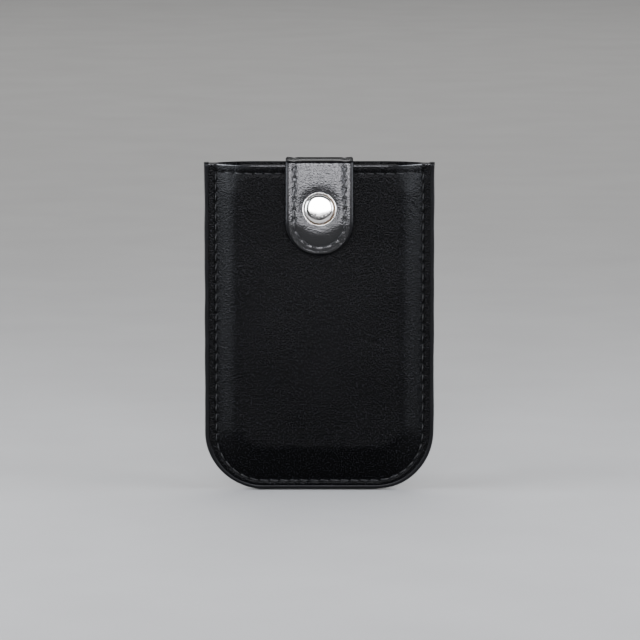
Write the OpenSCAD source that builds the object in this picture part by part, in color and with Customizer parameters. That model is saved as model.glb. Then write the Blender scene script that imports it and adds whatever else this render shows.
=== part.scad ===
// Pull-out card case: a stitched leather pouch with five card sleeves that rise in steps
// when the snap strap is lifted. Upright, front towards -Y, Z up, millimetres.
// The origin is the centre of the bottom edge, in the plane of the side seams.

/* [Case] */
// Width over the painted edges
case_w = 75; // [74:0.5:78]
// Height from the bottom edge to the mouth
case_h = 107.5; // [106:0.5:112]
// Radius of the two bottom corners
corner_r = 19; // [18:0.5:20]
// Thickness of the outer skin
skin_t = 1; // [0.8:0.1:1.2]
// Thickness of the lining and of each sleeve ply
ply_t = 0.3; // [0.25:0.05:0.3]
// Thickness of the sewn seam, both skins and both linings
seam_t = 3; // [2.6:0.1:3.4]
// Depth of the pocket in front of the seam plane
front_depth = 4.9; // [4.7:0.1:5.5]

/* [Sleeves] */
// Width of a sleeve
sleeve_w = 58; // [57:0.5:58]
// Room for one card between the plies of a sleeve
slot_t = 0.85; // [0.8:0.05:0.85]
// Gap between neighbouring sleeves
sleeve_gap = 0.1; // [0.05:0.05:0.1]
// Height of a sleeve's bottom edge
sleeve_z = 14; // [14:0.5:15]
// Height of the top edge of the back plies
back_ply_top = 104; // [100:0.5:105]
// Height of the top edge of the front plies
front_ply_top = 88; // [80:1:92]

/* [Strap] */
// Width of the strap
strap_w = 22; // [20:1:26]
// Thickness of each of the strap's two plies
strap_ply_t = 0.7; // [0.6:0.1:0.7]
// Height of the rounded tip
tip_z = 78.3; // [74:0.1:80]
// Height of the riser's lower end inside the case
riser_z = 60; // [50:1:70]

/* [Snap] */
// Height of the snap's axis
snap_z = 93.3; // [92:0.1:96]
// Diameter of the cap's flange
cap_d = 11; // [10:0.5:12]
// Height of the cap's dome
dome_h = 1.7; // [1.2:0.1:2]
// Outer diameter of the socket
socket_d = 9; // [8.5:0.5:9.5]

/* [Stitching] */
// Distance from one stitch to the next
stitch_pitch = 3.3; // [3:0.1:3.6]
// Length of one visible stitch
stitch_len = 2.5; // [2:0.1:2.7]
// Diameter of the thread
thread_d = 0.45; // [0.3:0.05:0.5]
// Distance of the side seams from the edge of the case
seam_inset = 3.8; // [3.8:0.1:4]
// Height of the bottom seam
seam_z = 3; // [2.5:0.1:3]
// Distance of the hem rows below the mouth
hem_inset = 3; // [2.5:0.1:4]
// Distance of the strap's rows from its edge
strap_inset = 2.9; // [2.5:0.1:3.2]

/* [Hidden] */
$fn = 64;
hull_fn = 40;
touch = 0.01;
cut = 1;
sleeve_count = 5;
fit = 0.15;
coat_t = 0.4;
wall_t = ply_t + skin_t;

sleeve_pitch = 2 * ply_t + slot_t + sleeve_gap;
sleeve_r = 6;
sleeve_top_r = 3;
edge_w = 1.3;
thread_sunk = 0.15;
thread_w = 0.3;
channel_w = thread_d + 0.1;
channel_t = thread_d + 2 * touch;

seam_half = case_w / 2 - seam_inset - wall_t - 0.5;
seam_bottom = seam_z + wall_t + 0.6;
seam_r = corner_r - 5.2;
shoulder_share = 0.7;
shoulder_step = 0.9;
flat_step = 2.5;
hem_length = 2 * (seam_half - flat_step + wall_t) - 1;

stack_y = fit - front_depth;
riser_y = stack_y + sleeve_count * sleeve_pitch - sleeve_gap;
strap_t = 2 * strap_ply_t;
back_depth = riser_y + strap_t + fit;

front_y = -front_depth - wall_t;
back_y = back_depth + wall_t;
snap_gap = 2.6;
flap_y = front_y - snap_gap - strap_t;

fold_z = case_h + 0.2 + strap_ply_t;
fold_start = 0.9;
rear_fold_y = riser_y + strap_ply_t;
front_fold_y = flap_y + strap_ply_t;
tip_centre_z = tip_z + strap_w / 2;
strap_row = strap_w / 2 - strap_inset;

cap_flange_t = 0.5;
post_r = 1.5;
socket_y = flap_y + strap_t;
socket_t = 1.85;
socket_floor_t = 0.5;
cavity_r = 2.5;
spring_r = 2.4;
spring_wire_r = 0.2;
spring_y = socket_y + 1.15;
stud_base_r = 4;
stud_base_t = 0.5;
stud_neck_r = 1.9;
stud_head_r = 2.1;
stud_head_t = 0.35;
stud_reach = 2;
rivet_r = 1.2;
rivet_flange_r = 3.5;
rivet_flange_t = 0.4;
rivet_fit = 0.05;

tape_t = 0.3;
tape_w = 6;
tape_drop = 4;
anchor_w = 10;
anchor_route = [[0, 5.3], [0.4, 7.5], [2.6, 9.4], [-3.4, 10.4], [2.2, 11.8], [-3.3, 12.6]];

sleeve_parts = ["back", "front", "edges", "stitching"];

function sleeve_y(k) = stack_y + (sleeve_count - k) * sleeve_pitch;
function sleeve_mid_y(k) = sleeve_y(k) + ply_t + slot_t / 2;

// Extrudes an outline drawn in X and Z between two depths.
module slab(y_front, y_rear) {
    translate([0, y_rear, 0]) rotate([90, 0, 0]) linear_extrude(y_rear - y_front) children();
}

// A round disc or pin along Y on the axis of the snap.
module snap_disc(r, y_front, y_rear) {
    translate([0, y_rear, snap_z]) rotate([90, 0, 0]) cylinder(r = r, h = y_rear - y_front);
}

// A sheet with rounded bottom corners and, where top_r is given, rounded top corners.
module sheet(half, bottom, top, r, top_r = 0) {
    translate([-half, bottom + r]) square([2 * half, top - top_r - bottom - r]);
    translate([r - half, bottom]) square([2 * (half - r), r]);
    for (side = [-1, 1]) translate([side * (half - r), bottom + r]) circle(r);
    if (top_r > 0) {
        translate([top_r - half, top - top_r]) square([2 * (half - top_r), top_r]);
        for (side = [-1, 1]) translate([side * (half - top_r), top - top_r]) circle(top_r);
    }
}

// A band of width w that follows the sides and the bottom of a sheet.
module u_band(half, bottom, top, r, w) {
    difference() {
        sheet(half, bottom, top, r);
        sheet(half - w, bottom + w, top + cut, r - w);
    }
}

// Narrow slits that part a band into two sides, two corners and a bottom.
module band_slits(half, bottom, r) {
    translate([-half - cut, bottom + r - touch]) square([2 * (half + cut), 2 * touch]);
    for (side = [-1, 1]) {
        translate([side * (half - r) - touch, bottom - cut]) square([2 * touch, r]);
    }
}

// The pillow shape of one half of the pouch, which bulges from the seam plane towards -Y.
module pillow(depth, grow, top) {
    shoulder = shoulder_share * depth;
    hull() {
        slab(-touch, 0)
            sheet(seam_half + grow, seam_bottom - grow, top, seam_r + grow, $fn = hull_fn);
        slab(-shoulder, touch - shoulder)
            sheet(
                seam_half - shoulder_step + grow, seam_bottom + 1.6 - grow, top,
                seam_r - 0.8 + grow, $fn = hull_fn
            );
        slab(-depth, touch - depth)
            sheet(
                seam_half - flat_step + grow, seam_bottom + 4.1 - grow, top,
                seam_r - 1.8 + grow, $fn = hull_fn
            );
    }
}

module case_outline() {
    sheet(case_w / 2 - coat_t, coat_t, case_h, corner_r - coat_t);
}

module skin(depth) {
    difference() {
        union() {
            slab(-seam_t / 2, -ply_t) case_outline();
            pillow(depth + wall_t, wall_t, case_h);
        }
        pillow(depth + ply_t, ply_t, case_h + cut);
        slab(-ply_t, cut) square([2 * case_w, 3 * case_h], center = true);
        hem_channel(-depth - wall_t);
    }
}

// The channel that keeps the hem thread level with the outer face.
module hem_channel(y) {
    slab(y - cut, y + channel_t)
        translate([0, case_h - hem_inset]) square([hem_length, channel_w], center = true);
}

module lining(depth) {
    difference() {
        union() {
            slab(-ply_t, 0) case_outline();
            pillow(depth + ply_t, ply_t, case_h);
        }
        pillow(depth, 0, case_h + cut);
    }
}

module front_panel() {
    color("#17181c") difference() {
        skin(front_depth);
        snap_disc(rivet_r + rivet_fit, front_y - cut, front_y + skin_t + cut);
        snap_disc(rivet_flange_r + rivet_fit, front_y + skin_t - rivet_flange_t, front_y + skin_t);
    }
}

module front_lining() {
    color("#2a2b30") lining(front_depth);
}

module back_panel() {
    color("#17181c") mirror([0, 1, 0]) skin(back_depth);
}

module back_lining() {
    color("#2a2b30") mirror([0, 1, 0]) lining(back_depth);
}

module edge_paint() {
    color("#101013") slab(-seam_t / 2, seam_t / 2) difference() {
        u_band(case_w / 2, 0, case_h, corner_r, coat_t);
        band_slits(case_w / 2, 0, corner_r);
    }
}

// One visible stitch, a short rod turned about Y from upright.
module stitch(x, y, z, angle) {
    translate([x, y, z]) rotate([0, angle, 0])
        cylinder(d = thread_d, h = stitch_len, center = true, $fn = 16);
}

// A straight row of stitches: across when angle is 90, upright when it is 0.
module stitch_row(x, z, y, length, angle) {
    count = floor(length / stitch_pitch);
    for (i = [0 : count - 1]) {
        along = (i + 0.5 - count / 2) * stitch_pitch;
        stitch(x + along * sin(angle), y, z + along * cos(angle), angle);
    }
}

// Stitches on the lower arc of a row, from the side down to the bottom.
module stitch_corner(side, centre_x, centre_z, y, r) {
    count = round(r * PI / 2 / stitch_pitch);
    for (i = [0 : count - 1]) {
        angle = (i + 0.5) * 90 / count;
        stitch(side * (centre_x + r * cos(angle)), y, centre_z - r * sin(angle), side * angle);
    }
}

module seam_stitching() {
    half = case_w / 2 - seam_inset;
    r = corner_r - 3.4;
    straight = case_h - seam_z - r;
    color("#08080a") for (face = [-1, 1]) {
        y = face * (seam_t / 2 + thread_d / 2 + touch);
        stitch_row(0, seam_z, y, 2 * (half - r), 90);
        for (side = [-1, 1]) {
            stitch_row(side * half, seam_z + r + straight / 2, y, straight, 0);
            stitch_corner(side, half - r, seam_z + r, y, r);
        }
    }
}

module hem_stitching(y) {
    color("#08080a") stitch_row(0, case_h - hem_inset, y, hem_length, 90);
}

module front_hem_stitching() {
    hem_stitching(front_y + thread_d / 2 + touch);
}

module back_hem_stitching() {
    hem_stitching(back_y - thread_d / 2 - touch);
}

module sleeve_back(k) {
    y = sleeve_y(k) + ply_t + slot_t;
    color("#1d1e22") slab(y, y + ply_t)
        sheet(sleeve_w / 2, sleeve_z, back_ply_top, sleeve_r, sleeve_top_r);
}

// The thread lies flush in a channel along the sides and the bottom of the front ply.
module sleeve_thread_line() {
    inset = (edge_w - thread_w) / 2;
    u_band(sleeve_w / 2 - inset, sleeve_z + inset, front_ply_top, sleeve_r - inset, thread_w);
}

module sleeve_front(k) {
    y = sleeve_y(k);
    color("#1d1e22") difference() {
        slab(y, y + ply_t) sheet(sleeve_w / 2, sleeve_z, front_ply_top, sleeve_r);
        slab(y - cut, y + thread_sunk) sleeve_thread_line();
    }
}

module sleeve_edges(k) {
    y = sleeve_y(k) + ply_t;
    color("#1d1e22") slab(y, y + slot_t) difference() {
        u_band(sleeve_w / 2, sleeve_z, front_ply_top, sleeve_r, edge_w);
        band_slits(sleeve_w / 2, sleeve_z, sleeve_r);
    }
}

module sleeve_stitching(k) {
    y = sleeve_y(k);
    color("#08080a") slab(y, y + thread_sunk) sleeve_thread_line();
}

// A folded ribbon hangs in a loop between the bottoms of two neighbouring sleeves.
module tape_loop(k) {
    y_near = sleeve_mid_y(k + 1);
    y_far = sleeve_mid_y(k);
    r = (y_far - y_near) / 2;
    turn_z = sleeve_z - tape_drop + r + tape_t / 2;
    rotate([90, 0, 90]) linear_extrude(tape_w, center = true) {
        for (y = [y_near, y_far]) {
            translate([y - tape_t / 2, turn_z]) square([tape_t, sleeve_z - turn_z]);
        }
        translate([y_near + r, turn_z]) difference() {
            circle(r + tape_t / 2);
            circle(r - tape_t / 2);
            translate([-2 * r, 0]) square([4 * r, 2 * r]);
        }
    }
}

// The first ribbon runs in folds from the bottom seam up to the frontmost sleeve.
module anchor_tape() {
    route = concat(anchor_route, [[sleeve_mid_y(sleeve_count), sleeve_z - tape_t]]);
    rotate([90, 0, 90]) linear_extrude(anchor_w, center = true) {
        for (i = [0 : len(route) - 2]) {
            step = route[i + 1] - route[i];
            translate(route[i]) {
                circle(d = tape_t, $fn = 24);
                rotate(atan2(step[1], step[0])) translate([0, -tape_t / 2])
                    square([norm(step), tape_t]);
            }
        }
        translate(route[len(route) - 1] - [tape_t / 2, 0]) square(tape_t);
    }
}

module link_tape(k) {
    color("#26272b") {
        if (k == sleeve_count) {
            anchor_tape();
        } else {
            offset_x = k % 2 == 1 ? 10 : 20;
            for (side = [-1, 1]) translate([side * offset_x, 0, 0]) tape_loop(k);
        }
    }
}

module riser_outline() {
    translate([-strap_w / 2, riser_z]) square([strap_w, fold_z - fold_start - riser_z]);
}

module riser_thread_line() {
    half = strap_row + thread_w / 2;
    u_band(half, riser_z + strap_inset, fold_z - fold_start, 2, thread_w);
}

module riser_outer_ply() {
    y = riser_y + strap_t;
    color("#1a1b1f") difference() {
        slab(y - strap_ply_t, y) riser_outline();
        slab(y - thread_sunk, y + cut) riser_thread_line();
    }
}

module riser_inner_ply() {
    color("#1a1b1f") slab(riser_y, riser_y + strap_ply_t) riser_outline();
}

module riser_stitching() {
    y = riser_y + strap_t;
    color("#08080a") slab(y - thread_sunk, y) riser_thread_line();
}

// The round bend between two stretches of the strap.
module strap_fold(y) {
    color("#1a1b1f") translate([0, y, fold_z]) rotate([0, 90, 0])
        cylinder(r = strap_ply_t, h = strap_w, center = true);
}

module bridge_ply(z) {
    length = rear_fold_y - front_fold_y - 2 * fold_start;
    color("#1a1b1f") translate([-strap_w / 2, front_fold_y + fold_start, z])
        cube([strap_w, length, strap_ply_t]);
}

module bridge_stitching() {
    middle = (rear_fold_y + front_fold_y) / 2;
    z = fold_z + strap_ply_t + thread_d / 2 + touch;
    color("#08080a") for (side = [-1, 1]) for (i = [-1 : 1]) {
        translate([side * strap_row, middle + i * stitch_pitch, z]) rotate([90, 0, 0])
            cylinder(d = thread_d, h = stitch_len, center = true, $fn = 16);
    }
}

module flap_ply(y) {
    color("#1a1b1f") slab(y, y + strap_ply_t) difference() {
        union() {
            translate([-strap_w / 2, tip_centre_z])
                square([strap_w, fold_z - fold_start - tip_centre_z]);
            translate([0, tip_centre_z]) circle(strap_w / 2);
        }
        translate([0, snap_z]) circle(post_r);
    }
}

module flap_stitching() {
    straight = fold_z - 2 * fold_start - tip_centre_z;
    rest = thread_d / 2 + touch;
    color("#08080a") for (y = [flap_y - rest, flap_y + strap_t + rest]) for (side = [-1, 1]) {
        stitch_row(side * strap_row, tip_centre_z + straight / 2, y, straight, 0);
        stitch_corner(side, 0, tip_centre_z, y, strap_row);
    }
}

module snap_cap() {
    dome_r = cap_d / 2 - 1;
    ball_r = (pow(dome_r, 2) + pow(dome_h, 2)) / (2 * dome_h);
    flange_y = flap_y - cap_flange_t;
    color("#c9c8c4") {
        snap_disc(cap_d / 2, flange_y, flap_y);
        snap_disc(post_r, flap_y - touch, socket_y + socket_floor_t);
        intersection() {
            translate([0, flange_y - dome_h + ball_r, snap_z]) sphere(ball_r);
            snap_disc(dome_r, flange_y - dome_h - cut, flange_y + touch);
        }
    }
}

module snap_socket() {
    color("#b5b4b0") difference() {
        snap_disc(socket_d / 2, socket_y, socket_y + socket_t);
        snap_disc(post_r, socket_y - cut, socket_y + socket_floor_t + touch);
        snap_disc(cavity_r, socket_y + socket_floor_t, socket_y + socket_t + cut);
        snap_disc(
            spring_r + 2 * spring_wire_r, spring_y - spring_wire_r - touch,
            spring_y + spring_wire_r + touch
        );
    }
}

module snap_spring() {
    color("#9a9a98") translate([0, spring_y, snap_z]) rotate([90, 0, 0])
        rotate_extrude(angle = 330) translate([spring_r, 0]) circle(spring_wire_r, $fn = 24);
}

module snap_stud() {
    color("#b5b4b0") difference() {
        union() {
            snap_disc(stud_base_r, front_y - stud_base_t, front_y);
            snap_disc(stud_neck_r, front_y - stud_reach + touch, front_y - stud_base_t + touch);
            snap_disc(stud_head_r, front_y - stud_reach, front_y - stud_reach + stud_head_t);
        }
        snap_disc(rivet_r + rivet_fit, front_y - rivet_r, front_y + cut);
    }
}

module snap_stud_rivet() {
    inner_y = front_y + skin_t;
    color("#b5b4b0") {
        snap_disc(rivet_flange_r, inner_y - rivet_flange_t, inner_y);
        snap_disc(rivet_r, front_y - rivet_r + rivet_fit, inner_y - rivet_flange_t + touch);
    }
}

front_panel();
front_lining();
back_panel();
back_lining();
edge_paint();
seam_stitching();
front_hem_stitching();
back_hem_stitching();
snap_stud();
snap_stud_rivet();
for (k = [1 : sleeve_count]) {
    sleeve_back(k);
    sleeve_front(k);
    sleeve_edges(k);
    sleeve_stitching(k);
    link_tape(k);
}
riser_outer_ply();
riser_inner_ply();
riser_stitching();
strap_fold(rear_fold_y);  // strap_rear_fold
bridge_ply(fold_z);  // bridge_outer_ply
bridge_ply(fold_z - strap_ply_t);  // bridge_inner_ply
bridge_stitching();
strap_fold(front_fold_y);  // strap_front_fold
flap_ply(flap_y);  // flap_outer_ply
flap_ply(flap_y + strap_ply_t);  // flap_inner_ply
flap_stitching();
snap_cap();
snap_socket();
snap_spring();
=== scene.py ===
import math
import random

import bmesh
import bpy
import numpy as np
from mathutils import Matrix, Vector


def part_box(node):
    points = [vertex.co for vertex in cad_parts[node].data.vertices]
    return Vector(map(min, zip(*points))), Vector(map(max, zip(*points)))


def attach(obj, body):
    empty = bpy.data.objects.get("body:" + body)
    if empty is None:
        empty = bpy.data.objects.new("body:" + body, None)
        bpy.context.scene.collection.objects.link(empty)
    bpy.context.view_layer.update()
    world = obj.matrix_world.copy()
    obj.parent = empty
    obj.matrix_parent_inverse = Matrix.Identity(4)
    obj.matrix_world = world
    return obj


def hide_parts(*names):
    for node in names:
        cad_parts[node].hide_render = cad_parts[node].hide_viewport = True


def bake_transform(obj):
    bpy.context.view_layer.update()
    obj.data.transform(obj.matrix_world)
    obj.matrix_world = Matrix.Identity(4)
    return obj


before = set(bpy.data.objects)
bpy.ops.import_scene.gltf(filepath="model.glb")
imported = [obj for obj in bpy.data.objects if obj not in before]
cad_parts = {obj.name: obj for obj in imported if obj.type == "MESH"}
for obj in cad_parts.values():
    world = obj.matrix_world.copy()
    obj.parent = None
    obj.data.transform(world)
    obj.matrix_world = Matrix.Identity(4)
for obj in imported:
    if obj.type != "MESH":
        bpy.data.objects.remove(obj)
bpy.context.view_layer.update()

MM = 0.001
UV_PER_METRE = 10.0
THREAD_R = 0.22


# ---------------------------------------------------------------- sizes in millimetres, from the frame

def low(node):
    return [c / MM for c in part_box(node)[0]]


def high(node):
    return [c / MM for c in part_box(node)[1]]


CASE_HALF = high("edge_paint")[0]
CASE_H = high("edge_paint")[2]
SEAM_Y = high("edge_paint")[1]
CORNER_R = 19.0
SEW_INSET = 3.4
FRONT_Y = low("front_panel")[1]
BACK_Y = high("back_panel")[1]
SEW_HALF = (high("seam_stitching")[0] - low("seam_stitching")[0]) / 2 - THREAD_R
SEW_BOTTOM = low("seam_stitching")[2] + THREAD_R
SEW_R = CORNER_R - SEW_INSET
HEM_Z = (high("front_hem_stitching")[2] + low("front_hem_stitching")[2]) / 2
PITCH = 3.3

STRAP_HALF = high("flap_outer_ply")[0]
STRAP_T = high("flap_inner_ply")[1] - low("flap_outer_ply")[1]
FLAP_Y = (high("flap_inner_ply")[1] + low("flap_outer_ply")[1]) / 2
RISER_Y = (high("riser_outer_ply")[1] + low("riser_inner_ply")[1]) / 2
FOLD_Z = (high("bridge_outer_ply")[2] + low("bridge_inner_ply")[2]) / 2
TIP_Z = low("flap_outer_ply")[2]
RISER_Z = low("riser_outer_ply")[2]
STRAP_ROW = high("flap_stitching")[0] - THREAD_R
SNAP_Z = (high("snap_cap")[2] + low("snap_cap")[2]) / 2
CAP_R = high("snap_cap")[0]
CAP_Y = low("flap_outer_ply")[1]
SLEEVES = 5


# ---------------------------------------------------------------- mesh helpers

def add_mesh(name, verts, faces, uvs, material):
    """A smooth object from points in millimetres; uvs holds one pair of millimetres a vertex."""
    mesh = bpy.data.meshes.new(name)
    mesh.from_pydata([tuple(c * MM for c in v) for v in verts], [], faces)
    mesh.update()
    if uvs is not None:
        layer = mesh.uv_layers.new(name="UVMap")
        corner_vertex = np.empty(len(mesh.loops), int)
        mesh.loops.foreach_get("vertex_index", corner_vertex)
        pairs = np.asarray(uvs, float)[corner_vertex] * MM * UV_PER_METRE
        layer.data.foreach_set("uv", pairs.ravel())
    mesh.materials.append(material)
    mesh.polygons.foreach_set("use_smooth", [True] * len(mesh.polygons))
    piece = bpy.data.objects.new(name, mesh)
    bpy.context.collection.objects.link(piece)
    return piece


def grid_faces(rows, cols, start=0, flip=False):
    faces = []
    for i in range(rows - 1):
        for j in range(cols - 1):
            a = start + i * cols + j
            quad = (a, a + 1, a + cols + 1, a + cols)
            faces.append(quad[::-1] if flip else quad)
    return faces


def border_of(rows, cols):
    """The border vertices of a grid, once round."""
    return (
        [j for j in range(cols)]
        + [i * cols + cols - 1 for i in range(1, rows)]
        + [(rows - 1) * cols + j for j in range(cols - 2, -1, -1)]
        + [i * cols for i in range(rows - 2, 0, -1)]
    )


def shell(name, outer, inner, uvs, material, outward_first=True):
    """A closed shell between two grids of the same size, each an array of rows x cols x 3."""
    rows, cols = outer.shape[:2]
    count = rows * cols
    verts = np.concatenate([outer.reshape(-1, 3), inner.reshape(-1, 3)])
    faces = grid_faces(rows, cols, 0, not outward_first)
    faces += grid_faces(rows, cols, count, outward_first)
    ring = border_of(rows, cols)
    for a, b in zip(ring, ring[1:] + ring[:1]):
        quad = (b, a, a + count, b + count)
        faces.append(quad if outward_first else quad[::-1])
    both = np.concatenate([uvs.reshape(-1, 2)] * 2)
    return add_mesh(name, verts, faces, both, material)


def place(piece, body, material_slot, *nodes):
    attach(piece, body)
    if nodes:
        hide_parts(*nodes)
    return piece


def lathe(name, profile, centre, material, steps=96):
    """Turns (radius, reach) pairs about an axis that points to -Y."""
    verts = []
    for radius, reach in profile:
        for k in range(steps):
            a = 2 * math.pi * k / steps
            x, z = centre[0] + radius * math.cos(a), centre[2] + radius * math.sin(a)
            verts.append((x, centre[1] - reach, z))
    faces = []
    for i in range(len(profile) - 1):
        for k in range(steps):
            n = (k + 1) % steps
            faces.append((i * steps + k, i * steps + n, (i + 1) * steps + n, (i + 1) * steps + k))
    faces.append(tuple(range(steps))[::-1])
    faces.append(tuple((len(profile) - 1) * steps + k for k in range(steps)))
    return add_mesh(name, verts, faces, None, material)


# ---------------------------------------------------------------- materials

def new_material(name, colour, roughness, specular=0.5, metallic=0.0):
    material = bpy.data.materials.new(name)
    material.use_nodes = True
    nodes, links = material.node_tree.nodes, material.node_tree.links
    shader = nodes["Principled BSDF"]
    shader.inputs["Base Color"].default_value = (*colour, 1)
    shader.inputs["Roughness"].default_value = roughness
    shader.inputs["Specular IOR Level"].default_value = specular
    shader.inputs["Metallic"].default_value = metallic
    return material, nodes, links, shader


def texture(nodes, links, kind, source, scale, **settings):
    """A procedural texture along UV or Object coordinates; scale is features a millimetre."""
    coordinates = nodes.new("ShaderNodeTexCoord")
    node = nodes.new(kind)
    per_unit = scale / MM / (UV_PER_METRE if source == "UV" else 1)
    if "Scale" in node.inputs:
        node.inputs["Scale"].default_value = per_unit
    for key, value in settings.items():
        if key in node.inputs:
            node.inputs[key].default_value = value
        else:
            setattr(node, key, value)
    links.new(coordinates.outputs[source], node.inputs["Vector"])
    return node


def ramp(nodes, links, value, stops):
    node = nodes.new("ShaderNodeValToRGB")
    elements = node.color_ramp.elements
    while len(elements) < len(stops):
        elements.new(0.5)
    for element, (position, colour) in zip(elements, stops):
        element.position = position
        element.color = (*colour, 1) if len(colour) == 3 else colour
    links.new(value, node.inputs["Fac"])
    return node


def spread(nodes, links, value, lowest, highest, start=0.0, end=1.0):
    node = nodes.new("ShaderNodeMapRange")
    node.inputs["From Min"].default_value = start
    node.inputs["From Max"].default_value = end
    node.inputs["To Min"].default_value = lowest
    node.inputs["To Max"].default_value = highest
    links.new(value, node.inputs["Value"])
    return node


def add_bump(nodes, links, shader, height, depth_mm, strength=1.0, before=None):
    bump = nodes.new("ShaderNodeBump")
    bump.inputs["Strength"].default_value = strength
    bump.inputs["Distance"].default_value = depth_mm * MM
    links.new(height, bump.inputs["Height"])
    if before:
        links.new(before.outputs["Normal"], bump.inputs["Normal"])
    links.new(bump.outputs["Normal"], shader.inputs["Normal"])
    return bump


def leather(name, source, tint, roughness, grain=0.05, mottle=0.08, specular=0.4, glint_contrast=20):
    """Coated leather: fine pebbles, pale flecks painted into the colour as glints of the grain, long faint
    wrinkles and cloudy gloss.
    """
    material, nodes, links, shader = new_material(name, tint, roughness, specular)
    cloud = texture(nodes, links, "ShaderNodeTexNoise", source, 0.045, Detail=5.0, Roughness=0.6)
    dark = tuple(c * 0.8 for c in tint)
    light = tuple(c * 1.3 for c in tint)
    colours = ramp(nodes, links, cloud.outputs["Fac"], [(0.28, dark), (0.75, light)])
    # Pale flecks: painted glints of the grain, added to the base colour; the same noise also bumps the
    # grain.
    flecks = texture(nodes, links, "ShaderNodeTexNoise", source, 2.0, Detail=3.0, Roughness=0.6)
    pale = tuple(c * glint_contrast for c in tint)
    painted_glints = ramp(nodes, links, flecks.outputs["Fac"], [(0.58, (0, 0, 0)), (0.8, pale)])
    mix = nodes.new("ShaderNodeMix")
    mix.data_type = "RGBA"
    mix.blend_type = "ADD"
    mix.inputs["Factor"].default_value = 1
    links.new(colours.outputs["Color"], mix.inputs["A"])
    links.new(painted_glints.outputs["Color"], mix.inputs["B"])
    links.new(mix.outputs["Result"], shader.inputs["Base Color"])
    gloss = spread(
        nodes, links, cloud.outputs["Fac"], roughness - mottle, roughness + mottle, 0.3, 0.7
    )
    links.new(gloss.outputs["Result"], shader.inputs["Roughness"])
    pebbles = texture(
        nodes, links, "ShaderNodeTexVoronoi", source, 2.2, feature="SMOOTH_F1", Smoothness=0.4
    )
    fine = texture(nodes, links, "ShaderNodeTexNoise", source, 3.6, Detail=4.0, Roughness=0.7)
    wrinkles = texture(
        nodes, links, "ShaderNodeTexNoise", source, 0.22, Detail=6.0, Roughness=0.62, Distortion=1.6
    )
    first = add_bump(nodes, links, shader, wrinkles.outputs["Fac"], 0.06, 0.5)
    second = add_bump(nodes, links, shader, pebbles.outputs["Distance"], grain, 0.8, first)
    third = add_bump(nodes, links, shader, flecks.outputs["Fac"], grain, 0.8, second)
    add_bump(nodes, links, shader, fine.outputs["Fac"], grain * 0.6, 0.8, third)
    return material


def cloth(name, source, tint):
    """A fine woven lining: two crossed waves for warp and weft."""
    material, nodes, links, shader = new_material(name, tint, 0.8, 0.25)
    shader.inputs["Sheen Weight"].default_value = 0.25
    warp = texture(
        nodes, links, "ShaderNodeTexWave", source, 0.55, bands_direction="X", Distortion=0.6
    )
    weft = texture(
        nodes, links, "ShaderNodeTexWave", source, 0.55, bands_direction="Y", Distortion=0.6
    )
    crossed = nodes.new("ShaderNodeMath")
    crossed.operation = "MAXIMUM"
    links.new(warp.outputs["Fac"], crossed.inputs[0])
    links.new(weft.outputs["Fac"], crossed.inputs[1])
    colours = ramp(
        nodes, links, crossed.outputs["Value"],
        [(0.2, tuple(c * 0.5 for c in tint)), (0.9, tuple(c * 1.4 for c in tint))],
    )
    links.new(colours.outputs["Color"], shader.inputs["Base Color"])
    add_bump(nodes, links, shader, crossed.outputs["Value"], 0.05, 0.7)
    return material


def ribbon_cloth(name, tint):
    """Ribbed ribbon: fine ribs across its length."""
    material, nodes, links, shader = new_material(name, tint, 0.6, 0.35)
    shader.inputs["Sheen Weight"].default_value = 0.3
    ribs = texture(nodes, links, "ShaderNodeTexWave", "UV", 0.7, bands_direction="Y")
    colours = ramp(
        nodes, links, ribs.outputs["Fac"],
        [(0.1, tuple(c * 0.6 for c in tint)), (0.8, tuple(c * 1.5 for c in tint))],
    )
    links.new(colours.outputs["Color"], shader.inputs["Base Color"])
    add_bump(nodes, links, shader, ribs.outputs["Fac"], 0.06, 0.8)
    return material


def thread_fibre(name, tint):
    """Waxed thread: twisted strands, with a little fuzz."""
    material, nodes, links, shader = new_material(name, tint, 0.4, 0.4)
    twist = texture(
        nodes, links, "ShaderNodeTexWave", "Object", 1.6, bands_direction="DIAGONAL", Distortion=1.0
    )
    fuzz = texture(nodes, links, "ShaderNodeTexNoise", "Object", 8.0, Detail=2.0)
    colours = ramp(
        nodes, links, fuzz.outputs["Fac"],
        [(0.3, tuple(c * 0.6 for c in tint)), (0.75, tuple(c * 1.8 for c in tint))],
    )
    links.new(colours.outputs["Color"], shader.inputs["Base Color"])
    add_bump(nodes, links, shader, twist.outputs["Fac"], 0.05, 0.9)
    return material


def edge_coat(name, source, tint):
    """Edge paint: smooth, with slow waves from the brush and few fine pits."""
    material, nodes, links, shader = new_material(name, tint, 0.3, 0.13)
    waves = texture(nodes, links, "ShaderNodeTexNoise", source, 0.16, Detail=3.0)
    pits = texture(nodes, links, "ShaderNodeTexNoise", source, 3.0, Detail=2.0)
    rough = spread(nodes, links, pits.outputs["Fac"], 0.22, 0.42, 0.35, 0.7)
    links.new(rough.outputs["Result"], shader.inputs["Roughness"])
    colours = ramp(
        nodes, links, waves.outputs["Fac"],
        [(0.3, tuple(c * 0.8 for c in tint)), (0.7, tuple(c * 1.3 for c in tint))],
    )
    links.new(colours.outputs["Color"], shader.inputs["Base Color"])
    first = add_bump(nodes, links, shader, waves.outputs["Fac"], 0.25, 0.35)
    add_bump(nodes, links, shader, pits.outputs["Fac"], 0.02, 0.5, first)
    return material


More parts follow.
